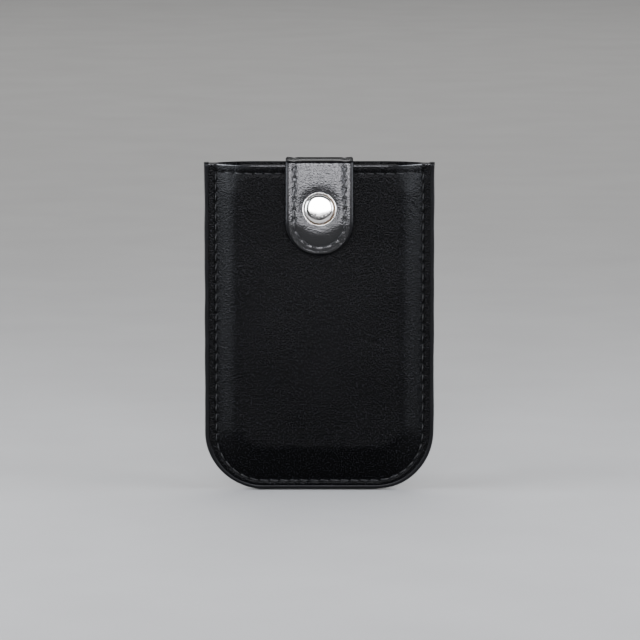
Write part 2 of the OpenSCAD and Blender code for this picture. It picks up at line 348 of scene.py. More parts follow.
def nickel(name, tint, roughness, wear=0.05):
    """Polished plate: hairline scratches and slight haze."""
    material, nodes, links, shader = new_material(name, tint, roughness, metallic=1.0)
    haze = texture(nodes, links, "ShaderNodeTexNoise", "Object", 0.6, Detail=4.0)
    scratch = texture(nodes, links, "ShaderNodeTexNoise", "Object", 2.2, Detail=8.0, Distortion=2.5)
    rough = spread(nodes, links, haze.outputs["Fac"], roughness, roughness + wear, 0.35, 0.7)
    links.new(rough.outputs["Result"], shader.inputs["Roughness"])
    colours = ramp(
        nodes, links, haze.outputs["Fac"], [(0.3, tuple(c * 0.93 for c in tint)), (0.7, tint)]
    )
    links.new(colours.outputs["Color"], shader.inputs["Base Color"])
    add_bump(nodes, links, shader, scratch.outputs["Fac"], 0.004, 0.25)
    return material


def table_top(name):
    """A plain pale matt floor, a little uneven in tone."""
    material, nodes, links, shader = new_material(name, (0.3, 0.296, 0.29), 0.7, 0.2)
    grain = texture(nodes, links, "ShaderNodeTexNoise", "Object", 0.02, Detail=6.0)
    dark, light = (0.29, 0.286, 0.28), (0.31, 0.306, 0.3)
    colours = ramp(nodes, links, grain.outputs["Fac"], [(0.3, dark), (0.7, light)])
    links.new(colours.outputs["Color"], shader.inputs["Base Color"])
    return material


CASE_LEATHER = leather(
    "case_leather", "UV", (0.00045, 0.00046, 0.00056), 0.22, grain=0.12, mottle=0.05, specular=0.06,
    glint_contrast=58,
)
BURNISHED_LEATHER = leather(
    "burnished_leather", "UV", (0.001, 0.0011, 0.0016), 0.26, grain=0.03, mottle=0.05, specular=0.5,
    glint_contrast=8,
)
STRAP_LEATHER = leather(
    "strap_leather", "UV", (0.0009, 0.00095, 0.0012), 0.2, grain=0.07, mottle=0.03, specular=0.46,
    glint_contrast=9,
)
SLEEVE_LEATHER = leather(
    "sleeve_leather", "UV", (0.006, 0.0062, 0.0072), 0.48, grain=0.08, specular=0.22, glint_contrast=2.5
)
LINING = cloth("lining_cloth", "UV", (0.03, 0.03, 0.034))
EDGE_PAINT = edge_coat("edge_paint", "UV", (0.002, 0.002, 0.0024))
THREAD = thread_fibre("thread", (0.003, 0.003, 0.0034))
RIBBON = ribbon_cloth("ribbon", (0.02, 0.02, 0.023))
NICKEL = nickel("nickel", (0.86, 0.84, 0.81), 0.07)
# Dark brown nickel for the cap's groove: painted shade and a painted reflection of a brown surface, not
# the plating's own colour.
NICKEL_PAINTED_SHADE = nickel("nickel_painted_shade", (0.16, 0.125, 0.09), 0.3, 0.12)
NICKEL_DULL = nickel("nickel_dull", (0.7, 0.69, 0.66), 0.22, 0.12)


# ---------------------------------------------------------------- pouch shape

def u_depth(x, z, half, bottom, r):
    """How far a point is inside the U of two sides and a bottom with rounded corners."""
    ax = np.abs(x)
    corner_x, corner_z = half - r, bottom + r
    straight = np.minimum(half - ax, z - bottom)
    corner = r - np.hypot(ax - corner_x, z - corner_z)
    return np.where((ax > corner_x) & (z < corner_z), corner, straight)


def u_along(x, z, half, bottom, r):
    """Distance along that U from the middle of its bottom."""
    ax = np.abs(x)
    corner_x, corner_z = half - r, bottom + r
    angle = np.arctan2(np.clip(ax - corner_x, 0, None), np.clip(corner_z - z, 1e-6, None))
    on_side = corner_x + r * math.pi / 2 + z - corner_z
    on_bottom = np.minimum(ax, corner_x) + r * angle
    return np.where(z > corner_z, on_side, on_bottom)


def ripple(x, z, seed):
    """Slow unevenness of a soft panel, within about 1."""
    draw = random.Random(seed)
    total = np.zeros_like(x)
    for _ in range(7):
        angle = draw.uniform(0, math.pi)
        length = draw.uniform(9, 34)
        shift = draw.uniform(0, 2 * math.pi)
        total += np.sin((x * math.cos(angle) + z * math.sin(angle)) * 2 * math.pi / length + shift)
    return total / 5


def dome(t):
    t = np.clip(t, 0, 1)
    return np.sqrt(np.clip(1 - (1 - t) ** 2, 0, None))


def groove(distance, along, width=0.6, depth=0.34):
    """A sewn line pulls the leather in, most at its needle holes."""
    holes = 0.62 + 0.38 * np.cos(2 * math.pi * along / PITCH)
    return depth * np.exp(-((distance / width) ** 2)) * holes


def crease(x, z, x0, z0, x1, z1, depth, width):
    """A fine fold line between two points."""
    dx, dz = x1 - x0, z1 - z0
    length = math.hypot(dx, dz)
    t = ((x - x0) * dx + (z - z0) * dz) / length**2
    across = ((x - x0) * -dz + (z - z0) * dx) / length
    bow = 0.25 * np.sin(np.clip(t, 0, 1) * math.pi)
    ends = np.clip(np.minimum(t, 1 - t) * 6, 0, 1)
    return depth * ends * np.exp(-(((across - bow) / width) ** 2))


FOOT_OUT = 0.15
FOOT_FILLET = 0.55
FOOT_HALF = SEW_HALF - FOOT_OUT
FOOT_BOTTOM = SEW_BOTTOM + 0.6
FOOT_R = SEW_R - FOOT_OUT
SHOULDER = 8.2
MOUTH_SHOULDER = 12.5
BOTTOM_SHOULDER = 16.0
MOUTH_Z = 98.5
BOTTOM_Z = 21.0
BOTTOM_FADE = 14.0
BELLY = 0.6
BELLY_REACH = 20.0
BELLY_TOP = CASE_H - 26
BELLY_SPAN = 70.0
RIPPLE = 0.1
RIM_R = 0.55
RIM_ROWS = 6
CORNER_ROWS = 45
STRAIGHT_ROWS = 150
BEAD_IN = 0.4
# Depths of a face under the outer one at the seam, on the slope and in the flat middle.
SKIN_INSIDE = (1.18, 0.4, 0.85)
LINING_OUTSIDE = (1.21, 0.43, 0.88)
LINING_INSIDE = (1.48, 0.63, 1.2)
# Each face of the pouch: its name, its side in Y, how far it stands out, and its seed.
FACES = (("front", -1, -FRONT_Y, 3), ("back", 1, BACK_Y, 11))
# Fine fold lines on the front: from (x, z) to (x, z), depth and width.
CREASES = (
    (28.4, 97.0, 32.2, 90.5, 0.15, 0.22),
    (29.3, 95.5, 32.2, 91.25, 0.15, 0.22),
    (30.02, 94.3, 32.2, 91.85, 0.15, 0.22),
    (12.0, 51.0, 22.0, 47.5, 0.1, 0.25),
    (15.0, 49.0, 25.0, 49.5, 0.08, 0.25),
)


def panel_grid():
    """Rows follow the outline from the bottom up to the mouth; columns crowd to the sides."""
    half, r = CASE_HALF - BEAD_IN, CORNER_R - BEAD_IN
    heights, widths = [], []
    for i in range(CORNER_ROWS):
        angle = math.radians(90 * i / CORNER_ROWS)
        heights.append(BEAD_IN + r * (1 - math.cos(angle)))
        widths.append(half - r + r * math.sin(angle))
    straight_top = CASE_H - RIM_R
    for i in range(STRAIGHT_ROWS):
        heights.append(CORNER_R + (straight_top - CORNER_R) * i / (STRAIGHT_ROWS - 1))
        widths.append(half)
    for i in range(1, RIM_ROWS + 1):
        heights.append(straight_top + RIM_R * math.sin(math.radians(90 * i / RIM_ROWS)))
        widths.append(half)
    inner = np.linspace(-0.72, 0.72, 71)
    outer = np.linspace(0.72, 1, 27)[1:]
    share = np.concatenate([-outer[::-1], inner, outer])
    z = np.repeat(np.array(heights)[:, None], len(share), 1)
    x = np.array(widths)[:, None] * share[None, :]
    return x, z


def rim(z):
    """How far the rounded top edge draws a face in."""
    above = np.clip(z - (CASE_H - RIM_R), 0, RIM_R)
    return RIM_R - np.sqrt(np.clip(RIM_R**2 - above**2, 0, None))


def shoulder(z):
    """Width over which a panel rises from the seam: more gently at the mouth and at the bottom."""
    near_mouth = np.clip((z - MOUTH_Z) / (CASE_H - MOUTH_Z), 0, 1)
    near_bottom = np.clip((BOTTOM_Z - z) / BOTTOM_FADE, 0, 1)
    near_bottom = near_bottom**2 * (3 - 2 * near_bottom)
    return (
        SHOULDER + (MOUTH_SHOULDER - SHOULDER) * near_mouth
        + (BOTTOM_SHOULDER - SHOULDER) * near_bottom
    )


def eased(inside):
    """Softens the crease where a panel leaves the seam."""
    inside = np.clip(inside, 0, None)
    return np.sqrt(inside**2 + FOOT_FILLET**2) - FOOT_FILLET * np.exp(-inside / 3)


def plain_height(inside, z, depth):
    """Distance of a panel's outer face from the seam plane, without belly, ripples or sewing."""
    share = np.clip(eased(inside) / shoulder(z), 0, 1)
    return SEAM_Y + (depth - SEAM_Y) * np.sin(share * math.pi / 2)


def panel_height(x, z, depth, seed):
    """Distance of a panel's outer face from the seam plane, before it is sewn."""
    inside = u_depth(x, z, FOOT_HALF, FOOT_BOTTOM, FOOT_R)
    y = plain_height(inside, z, depth)
    middle = np.clip(inside / BELLY_REACH, 0, 1)
    belly = np.sin(np.clip((BELLY_TOP - z) / BELLY_SPAN, 0, 1) * math.pi) ** 1.2
    y = y + BELLY * middle * belly
    calm = np.clip(inside / 6, 0, 1) * np.clip((CASE_H - z) / 25, 0.15, 1)
    return y + RIPPLE * ripple(x, z, seed) * calm


def pouch_face(x, z, depth, seed, is_front):
    """Distance of the outer face from the seam plane."""
    y = panel_height(x, z, depth, seed)
    sewn = u_depth(x, z, SEW_HALF, SEW_BOTTOM, SEW_R)
    along = u_along(x, z, SEW_HALF, SEW_BOTTOM, SEW_R)
    margin = np.clip(-sewn / 1.6, 0, 1)
    y += 0.16 * np.sin(margin * math.pi)
    y -= groove(sewn, along)
    hem_reach = np.clip((SEW_HALF - np.abs(x)) / 1.0, 0, 1)
    y -= groove(z - HEM_Z, x + PITCH / 2) * hem_reach
    y += 0.12 * np.exp(-(((z - HEM_Z - 1.5) / 0.9) ** 2)) * hem_reach
    if is_front:
        for line in CREASES:
            y -= crease(x, z, *line)
    return y - rim(z)


def inner_face(x, z, depth, walls):
    """A face under the outer one, by its three depths."""
    inside = u_depth(x, z, FOOT_HALF, FOOT_BOTTOM, FOOT_R)
    at_seam, on_slope, on_flat = walls
    depths = np.interp(inside, [0, 1.5, 5.5, 9], [at_seam, on_slope, on_slope, on_flat])
    return plain_height(inside, z, depth) - depths


def on_panel(x, z, depth, seed, face):
    """A point on a panel's outer face, the direction along X, and the way out."""
    step = 0.2
    xs, zs = np.array([x - step, x + step, x, x]), np.array([z, z, z - step, z + step])
    y = panel_height(xs, zs, depth, seed)
    along_x = Vector((2 * step, face * (y[1] - y[0]), 0)).normalized()
    along_z = Vector((0, face * (y[3] - y[2]), 2 * step)).normalized()
    outward = along_x.cross(along_z) * -face
    return (x, face * float((y[0] + y[1]) / 2), z), tuple(along_x), tuple(outward)


def stack_grid(x, y, z):
    return np.stack([x, y, z], axis=-1)


def make_pouch():
    x, z = panel_grid()
    uvs = np.stack([x, z], axis=-1)
    rows, cols = x.shape
    rim_end = (rows - 1) * (cols - 1)
    rim_start = rim_end - RIM_ROWS * (cols - 1)
    for name, sign, reach, seed in FACES:
        outer = pouch_face(x, z, reach, seed, sign < 0)
        skin_in = inner_face(x, z, reach, SKIN_INSIDE) + rim(z)
        skin = shell(
            f"{name}_skin",
            stack_grid(x, sign * outer, z), stack_grid(x, sign * skin_in, z),
            uvs, CASE_LEATHER, sign < 0,
        )
        skin.data.materials.append(BURNISHED_LEATHER)
        for polygon in skin.data.polygons[rim_start:rim_end]:
            polygon.material_index = 1
        place(skin, "pouch", "case_leather", f"{name}_panel")
        step = (slice(0, -6, 3), slice(None, None, 2))
        lx, lz = x[step], z[step]
        lining_out = inner_face(lx, lz, reach, LINING_OUTSIDE)
        lining_in = inner_face(lx, lz, reach, LINING_INSIDE)
        lining = shell(
            f"{name}_lining_cloth",
            stack_grid(lx, sign * lining_out, lz), stack_grid(lx, sign * lining_in, lz),
            uvs[step], LINING, sign < 0,
        )
        place(lining, "pouch", "lining", f"{name}_lining")


def u_route(half, bottom, r, top, step):
    """Points (x, z, outward x, outward z) down the left, round the bottom and up the right."""
    points = []
    corner_x, corner_z = half - r, bottom + r
    length = top - corner_z
    count = max(2, round(length / step))
    for i in range(count):
        points.append((-half, top - length * i / count, -1.0, 0.0))
    arc = max(4, round(r * math.pi / 2 / step))
    for i in range(arc):
        a = math.pi / 2 * i / arc
        nx, nz = -math.cos(a), -math.sin(a)
        points.append((-corner_x + r * nx, corner_z + r * nz, nx, nz))
    across = max(2, round(2 * corner_x / step))
    for i in range(across):
        points.append((-corner_x + 2 * corner_x * i / across, bottom, 0.0, -1.0))
    for i in range(arc):
        a = math.pi / 2 * i / arc
        nx, nz = math.sin(a), -math.cos(a)
        points.append((corner_x + r * nx, corner_z + r * nz, nx, nz))
    for i in range(count + 1):
        points.append((half, corner_z + length * i / count, 1.0, 0.0))
    return points


def make_edge():
    """The painted edge: a round bead over the raw seam that laps a little onto both faces."""
    lap, bead = 1.45, 0.24
    section = []
    face = SEAM_Y + 0.02
    section.append((-lap, -face + 0.12))
    section.append((-lap + 0.06, -face - bead * 0.55))
    section.append((-lap + 0.3, -face - bead))
    section.append((-0.75, -face - bead * 0.92))
    for i in range(13):
        a = math.pi * i / 12
        section.append((-0.42 + 0.46 * math.sin(a), -(face + bead * 0.75) * math.cos(a)))
    section.append((-0.75, face + bead * 0.92))
    section.append((-lap + 0.3, face + bead))
    section.append((-lap + 0.06, face + bead * 0.55))
    section.append((-lap, face - 0.12))
    route = u_route(CASE_HALF, 0.0, CORNER_R, CASE_H + 0.1, 1.0)
    draw = random.Random(21)
    waves = [
        (draw.uniform(9, 40), draw.uniform(0, 6.28), draw.uniform(0.02, 0.055)) for _ in range(6)
    ]
    verts, uvs, cols = [], [], len(section)
    for i, (x, z, nx, nz) in enumerate(route):
        uneven = sum(a * math.sin(2 * math.pi * i / length + shift) for length, shift, a in waves)
        top = min(i, len(route) - 1 - i)
        lump = 0.16 * math.exp(-((top / 2.2) ** 2))
        for n, y in section:
            out = n + (uneven * 0.6 + lump * 0.5) * (1 if n > -1 else 0) if nz > -0.999 else n
            verts.append((x + nx * out, y * (1 + uneven * 0.25 + lump), z + nz * out))
            uvs.append((n * 2 + y, float(i)))
    faces = []
    for i in range(len(route) - 1):
        for j in range(cols):
            k = (j + 1) % cols
            a, b = i * cols, (i + 1) * cols
            faces.append((a + j, b + j, b + k, a + k))
    faces.append(tuple(range(cols)))
    faces.append(tuple((len(route) - 1) * cols + j for j in reversed(range(cols))))
    edge = add_mesh("painted_edge", verts, faces, uvs, EDGE_PAINT)
    place(edge, "pouch", "edge_paint", "edge_paint")


# ---------------------------------------------------------------- stitches

def stitches(name, spots, body, *nodes, length=2.55, radius=0.21, sink=0.13, arch=0.17):
    """Each spot is (point, direction, outward); a stitch rises from one hole and dives into the next."""
    rings, sides = 7, 8
    verts, faces = [], []
    for point, direction, outward in spots:
        p, d, n = Vector(point), Vector(direction).normalized(), Vector(outward).normalized()
        side = d.cross(n)
        d = (d + side * 0.09).normalized()
        side = d.cross(n)
        start = len(verts)
        for i in range(rings):
            t = i / (rings - 1)
            rise = arch * (1 - (2 * t - 1) ** 2) - sink - 0.22 * abs(2 * t - 1) ** 3
            thick = radius * (0.55 + 0.45 * math.sin(math.pi * min(max(t, 0.06), 0.94)) ** 0.5)
            middle = p + d * ((t - 0.5) * length) + n * rise
            for k in range(sides):
                a = 2 * math.pi * k / sides
                across, up = thick * math.cos(a), thick * 0.85 * math.sin(a)
                verts.append(tuple(middle + side * across + n * up))
        for i in range(rings - 1):
            for k in range(sides):
                m = (k + 1) % sides
                a, b = start + i * sides, start + (i + 1) * sides
                faces.append((a + k, a + m, b + m, b + k))
        faces.append(tuple(start + k for k in reversed(range(sides))))
        faces.append(tuple(start + (rings - 1) * sides + k for k in range(sides)))
    piece = add_mesh(name, verts, faces, None, THREAD)
    if body:
        place(piece, body, "thread", *nodes)
    return piece


def make_pouch_stitches():
    route = u_route(SEW_HALF, SEW_BOTTOM, SEW_R, CASE_H - 2.0, 0.1)
    points = np.array([(x, z, nx, nz) for x, z, nx, nz in route])
    gaps = np.hypot(np.diff(points[:, 0]), np.diff(points[:, 1]))
    along = np.concatenate([[0], np.cumsum(gaps)])
    half_length = along[-1] / 2
    count = int(half_length / PITCH)
    spots = []
    for i in range(-count, count):
        s = half_length + (i + 0.5) * PITCH
        x, z, nx, nz = [float(np.interp(s, along, points[:, c])) for c in range(4)]
        for face in (-1, 1):
            spots.append(((x, face * SEAM_Y, z), (-nz, 0, nx), (0, face, 0)))
    stitches("seam_thread", spots, "pouch", "seam_stitching", radius=0.24, arch=0.22)
    reach = int((SEW_HALF - 1.5) / PITCH)
    for name, face, depth, seed in FACES:
        spots = [on_panel(i * PITCH, HEM_Z, depth, seed, face) for i in range(-reach, reach + 1)]
        stitches(f"{name}_hem_thread", spots, "pouch", f"{name}_hem_stitching")


# ---------------------------------------------------------------- strap

BEND_R = 0.85
HALF_T = STRAP_T / 2
MIDDLE_Y = (RISER_Y + FLAP_Y) / 2
TOP_LEAN = 2.2
SNAP_LEAN = -0.5
TIP_LEAN = 0.9
CAP_TILT = math.radians(8.5)
CAP_TURN = math.radians(3)
RISER_CORNER = 2.0
DIMPLE = 0.42
PAINTED = 9


def flap_lean(z):
    """The strap stands furthest out just below the snap and draws in above and below it."""
    belly_z = SNAP_Z - 5
    above = np.clip((z - belly_z) / (FOLD_Z - BEND_R - belly_z), 0, 1)
    below = np.clip((belly_z - z) / (belly_z - TIP_Z), 0, 1)
    return SNAP_LEAN + (TOP_LEAN - SNAP_LEAN) * above**1.35 + TIP_LEAN * below**1.5


def strap_route(to_front):
    """(distance, y, z, outward y, outward z) from the bridge's middle to the flap's tip or riser's end."""
    sign = -1 if to_front else 1
    end_y = FLAP_Y + TOP_LEAN if to_front else RISER_Y
    end_z = TIP_Z if to_front else RISER_Z
    flat = abs(end_y - MIDDLE_Y) - BEND_R
    arc = BEND_R * math.pi / 2
    drop = FOLD_Z - BEND_R - end_z
    route = []
    for i in range(int(flat / 0.5) + 1):
        s = flat * i / (int(flat / 0.5) + 1)
        route.append((s, MIDDLE_Y + sign * s, FOLD_Z, 0.0, 1.0))
    for i in range(10):
        a = math.pi / 2 * i / 10
        route.append((
            flat + BEND_R * a,
            MIDDLE_Y + sign * (flat + BEND_R * math.sin(a)),
            FOLD_Z - BEND_R + BEND_R * math.cos(a),
            sign * math.sin(a), math.cos(a),
        ))
    tip_r = STRAP_HALF if to_front else RISER_CORNER
    steps = int((drop - tip_r) / 0.45)
    depths = [(drop - tip_r) * i / steps for i in range(steps)]
    depths += [drop - tip_r + tip_r * math.sin(math.radians(90 * i / 40)) for i in range(41)]
    for d in depths:
        z = FOLD_Z - BEND_R - d
        lean = flap_lean(z) - TOP_LEAN if to_front else 0.0
        route.append((flat + arc + d, end_y + lean, z, float(sign), 0.0))
    return route


def strap_piece(name, to_front, body_a, body_b, nodes, start, end):
    route = strap_route(to_front)
    length = route[-1][0]
    tip_r = STRAP_HALF if to_front else RISER_CORNER
    share = np.sin(np.radians(np.linspace(-90, 90, 61)))
    share = np.sign(share) * np.abs(share) ** 0.85
    outer, inner, uvs = [], [], []
    for s, y, z, ny, nz in route:
        left = length - s
        if left < tip_r:
            bend = tip_r - left
            half = STRAP_HALF - tip_r + math.sqrt(max(tip_r**2 - bend**2, 0))
        else:
            half = STRAP_HALF
        x = share * half
        if left < tip_r:
            corner = STRAP_HALF - tip_r
            gap = tip_r - np.hypot(np.clip(np.abs(x) - corner, 0, None), tip_r - left)
            gap = np.minimum(gap, STRAP_HALF - np.abs(x))
        else:
            gap = STRAP_HALF - np.abs(x)
        gap = np.clip(gap, 0, None)
        thick = HALF_T * dome(gap / HALF_T) ** 0.8
        bead = 0.1 * np.exp(-(((gap - 0.65) / 0.4) ** 2))
        if left < tip_r and to_front:
            row_gap = STRAP_ROW - np.hypot(x, tip_r - left)
            along = STRAP_ROW * np.arctan2(np.abs(x), max(tip_r - left, 1e-6))
        else:
            row_gap = STRAP_ROW - np.abs(x)
            along = np.full_like(x, STRAP_ROW * math.pi / 2 + left - tip_r)
        sewn = groove(row_gap, along, 0.55, 0.3)
        pad = 0.2 * np.clip(row_gap / 3, 0, 1) ** 0.7 * min(s / 5, 1) if to_front else 0 * x
        face = thick + bead - sewn + pad
        if to_front:
            snap = np.hypot(x, z - SNAP_Z)
            dimple = DIMPLE * np.exp(-(((snap - 4.8) / 2.1) ** 2))
            face = face - dimple - pad * np.exp(-((snap / 6.5) ** 2))
        for col, f in enumerate(face):
            edge = thick[col] <= 0.02
            f = thick[col] if edge else max(f, 0.15)
            outer.append((x[col], y + ny * f, z + nz * f))
            inner.append((x[col], y - ny * thick[col], z - nz * thick[col]))
            uvs.append((x[col], s if to_front else -s))
    rows, cols = len(route), len(share)
    outer = np.array(outer).reshape(rows, cols, 3)
    inner = np.array(inner).reshape(rows, cols, 3)
    uvs = np.array(uvs).reshape(rows, cols, 2)
    piece = shell(name, outer, inner, uvs, STRAP_LEATHER, not to_front)
    piece.data.materials.append(EDGE_PAINT)
    paint_rim(piece, rows, cols)
    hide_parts(*nodes)
    weld(piece)
    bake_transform(piece)
    return piece


def paint_rim(piece, rows, cols):
    """The outer columns and last rows of a strap piece carry edge paint; its start is flat."""
    index = np.zeros(len(piece.data.polygons), int)
    quads = (rows - 1) * (cols - 1)
    reach = [min(j, cols - 2 - j) for j in range(cols - 1)]
    for side in (0, quads):
        for i in range(rows - 1):
            for j in range(cols - 1):
                if reach[j] < PAINTED or i >= rows - PAINTED:
                    index[side + i * (cols - 1) + j] = 1
    index[2 * quads:] = 1
    piece.data.polygons.foreach_set("material_index", index)
    smooth = np.ones(len(index), bool)
    smooth[2 * quads:2 * quads + cols - 1] = False
    piece.data.polygons.foreach_set("use_smooth", smooth)


def weld(piece):
    """Joins the points that coincide along a strap's thin rim."""
    mesh = bmesh.new()
    mesh.from_mesh(piece.data)
    bmesh.ops.remove_doubles(mesh, verts=mesh.verts, dist=0.004 * MM)
    bmesh.ops.dissolve_degenerate(mesh, edges=mesh.edges, dist=0.001 * MM)
    bmesh.ops.recalc_face_normals(mesh, faces=mesh.faces)
    mesh.to_mesh(piece.data)
    mesh.free()


def fold_region(y, to_front, reach=2.4):
    """Where the strap turns from one body to the next round a fold's axis."""
    sign = -1 if to_front else 1
    upright = (0, y * MM, (FOLD_Z - reach) * MM)
    level = (0, (y - sign * reach) * MM, FOLD_Z * MM)
    return (level, upright) if to_front else (upright, level)


def make_strap():
    flap = fold_region(FLAP_Y, True)
    riser = fold_region(RISER_Y, False)
    strap_piece(
        "strap_front_length", True, "strap_bridge", "strap_flap",
        ["flap_outer_ply", "flap_inner_ply", "strap_front_fold", "bridge_outer_ply"], *flap,
    )
    strap_piece(
        "strap_rear_length", False, "sleeve_1", "strap_bridge",
        ["riser_outer_ply", "riser_inner_ply", "strap_rear_fold", "bridge_inner_ply"], *riser,
    )
    make_strap_stitches()


def make_strap_stitches():
    for to_front in (True, False):
        route = strap_route(to_front)
        table = np.array(route)
        length = table[-1, 0]
        tip_r = STRAP_HALF if to_front else RISER_CORNER
        straight = length - tip_r
        count = int(straight / PITCH)
        spots = []
        for side in (-1, 1):
            for i in range(count):
                s = straight - (i + 0.5) * PITCH + STRAP_ROW * math.pi / 2 % PITCH
                if not PITCH / 2 < s < straight:
                    continue
                _, y, z, ny, nz = [float(np.interp(s, table[:, 0], table[:, c])) for c in range(5)]
                size = math.hypot(ny, nz)
                n = (0, ny / size, nz / size)
                d = (0, -n[2], n[1])
                centre = (side * STRAP_ROW, y + n[1] * HALF_T, z + n[2] * HALF_T)
                spots.append((centre, d, n))
        if to_front:
            arc_count = round(math.pi * STRAP_ROW / PITCH)
            centre_z = TIP_Z + STRAP_HALF
            for i in range(arc_count):
                a = math.pi * (i + 0.5) / arc_count
                x, z = STRAP_ROW * math.cos(a), centre_z - STRAP_ROW * math.sin(a)
                y = FLAP_Y + float(flap_lean(np.array(z))) - HALF_T
                spots.append(((x, y, z), (math.sin(a), 0, math.cos(a)), (0, -1, 0)))
        name = "strap_front_thread" if to_front else "strap_rear_thread"
        nodes = ["flap_stitching", "bridge_stitching"] if to_front else ["riser_stitching"]
        piece = stitches(name, spots, None, length=2.7, radius=0.23)
        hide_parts(*nodes)
        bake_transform(piece)


# ---------------------------------------------------------------- snap

def make_snap():
    """The cap: a rolled flange, a groove painted dark brown as painted shade and a painted brown
    reflection, and a flat-topped dome, tilted with the strap.
    """
    r = CAP_R
    profile = [
        (r - 0.25, -0.45), (r - 0.05, -0.3), (r, 0.0), (r - 0.02, 0.12), (r - 0.07, 0.22),
        (r - 0.15, 0.27), (r - 0.24, 0.25), (r - 0.32, 0.17), (r - 0.38, 0.04), (r - 0.44, -0.1),
        (r - 0.52, -0.15), (r - 0.6, -0.08), (r - 0.66, 0.15), (r - 0.7, 0.5), (r - 0.73, 0.95),
        (r - 0.77, 1.35),
        (r - 0.84, 1.68), (r - 0.96, 1.92), (r - 1.15, 2.09), (r - 1.42, 2.19), (r - 1.9, 2.25),
        (r - 2.6, 2.29), (r - 3.4, 2.32), (r - 4.4, 2.335), (0.05, 2.34),
    ]
    cap = lathe("snap_cap_shell", profile, (0, 0, 0), NICKEL)
    cap.data.materials.append(NICKEL_PAINTED_SHADE)
    steps = len(cap.data.polygons) // (len(profile) - 1)
    # The groove's faces take the dark brown nickel: painted shade and a painted brown reflection.
    groove_start, groove_end = 7, 13
    for polygon in cap.data.polygons[groove_start * steps:groove_end * steps]:
        polygon.material_index = 1
    cap.location = (0, (CAP_Y + 0.15) * MM, SNAP_Z * MM)
    cap.rotation_euler = (-CAP_TILT, 0, -CAP_TURN)
    place(cap, "strap_flap", "snap_metal", "snap_cap")
    for node in ("snap_socket", "snap_spring", "snap_stud", "snap_stud_rivet"):
        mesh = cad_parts[node].data
        mesh.materials.clear()
        mesh.materials.append(NICKEL_DULL)


# ---------------------------------------------------------------- sleeves and ribbons

LEAF_IN = 0.8
SLEEVE_CORNER = 6.0
SLEEVE_TOP_CORNER = 3.0
SLEEVE_ROW = 0.75
SLEEVE_PITCH = 2.6
EDGE_BAND = 1.3
TAPE_T = 0.28


def leaf_outline(half, bottom, top, r_bottom, r_top):
    """Rows of (height, half width) of a sheet with rounded corners, crowded towards its ends."""
    rows = []
    for i in range(13):
        a = math.radians(90 * i / 13)
        rows.append((bottom + r_bottom - r_bottom * math.cos(a), half - r_bottom + r_bottom * math.sin(a)))
    count = 40
    for i in range(count + 1):
        rows.append((bottom + r_bottom + (top - r_top - bottom - r_bottom) * i / count, half))
    for i in range(1, 11):
        a = math.radians(90 * i / 10)
        rows.append((top - r_top + r_top * math.sin(a), half - r_top + r_top * math.cos(a)))
    return rows


def leaf(name, half, bottom, top, r_bottom, r_top, y_front, y_rear, sewn_row=None):
    """A thin soft sheet with rounded edges, sewn along its sides and bottom."""
    rows = leaf_outline(half, bottom, top, r_bottom, r_top)
    share = np.sin(np.radians(np.linspace(-90, 90, 49)))
    z = np.repeat(np.array([r[0] for r in rows])[:, None], len(share), 1)
    x = np.array([r[1] for r in rows])[:, None] * share[None, :]
    gap = np.minimum(u_depth(x, z, half, bottom, r_bottom), top - z)
    half_t = (y_rear - y_front) / 2
    middle = (y_front + y_rear) / 2
    thick = half_t * dome(np.clip(gap, 0, None) / (2 * half_t)) ** 0.7
    thick = np.clip(thick, 0.03, None)
    dip = np.zeros_like(x)
    if sewn_row is not None:
        row = u_depth(x, z, half - sewn_row, bottom + sewn_row, r_bottom - sewn_row)
        dip = 0.07 * np.exp(-((row / 0.4) ** 2))
    front = stack_grid(x, middle - thick + dip, z)
    rear = stack_grid(x, middle + thick, z)
    return shell(name, front, rear, np.stack([x, z], axis=-1), SLEEVE_LEATHER, True)


def band(name, half, bottom, top, r, width, y_front, y_rear):
    """The turned edge between two plies: a soft strip with a round outer side."""
    route = u_route(half - width / 2, bottom + width / 2, r - width / 2, top - 0.3, 1.2)
    half_t, middle = (y_rear - y_front) / 2, (y_front + y_rear) / 2
    section = [(-width / 2, -half_t), (-width / 2, half_t)]
    section += [
        (width / 2 - half_t + half_t * math.cos(a), half_t * math.sin(a))
        for a in [math.radians(90 - 30 * i) for i in range(7)]
    ]
    cols = len(section)
    verts, uvs, faces = [], [], []
    for i, (x, z, nx, nz) in enumerate(route):
        for n, y in section:
            verts.append((x + nx * n, middle + y, z + nz * n))
            uvs.append((n + y, i * 1.2))
    for i in range(len(route) - 1):
        for j in range(cols):
            k = (j + 1) % cols
            a, b = i * cols, (i + 1) * cols
            faces.append((a + k, b + k, b + j, a + j))
    faces.append(tuple(reversed(range(cols))))
    faces.append(tuple((len(route) - 1) * cols + j for j in range(cols)))
    return add_mesh(name, verts, faces, uvs, SLEEVE_LEATHER)


def sleeve_spots(half, bottom, top, r, inset, y):
    route = np.array(u_route(half - inset, bottom + inset, r - inset, top - 1, 0.2))
    gaps = np.hypot(np.diff(route[:, 0]), np.diff(route[:, 1]))
    along = np.concatenate([[0], np.cumsum(gaps)])
    count = int(along[-1] / SLEEVE_PITCH)
    spots = []
    for i in range(count):
        s = (i + 0.5) * along[-1] / count
        x, z, nx, nz = [float(np.interp(s, along, route[:, c])) for c in range(4)]
        spots.append(((x, y, z), (-nz, 0, nx), (0, -1, 0)))
    return spots


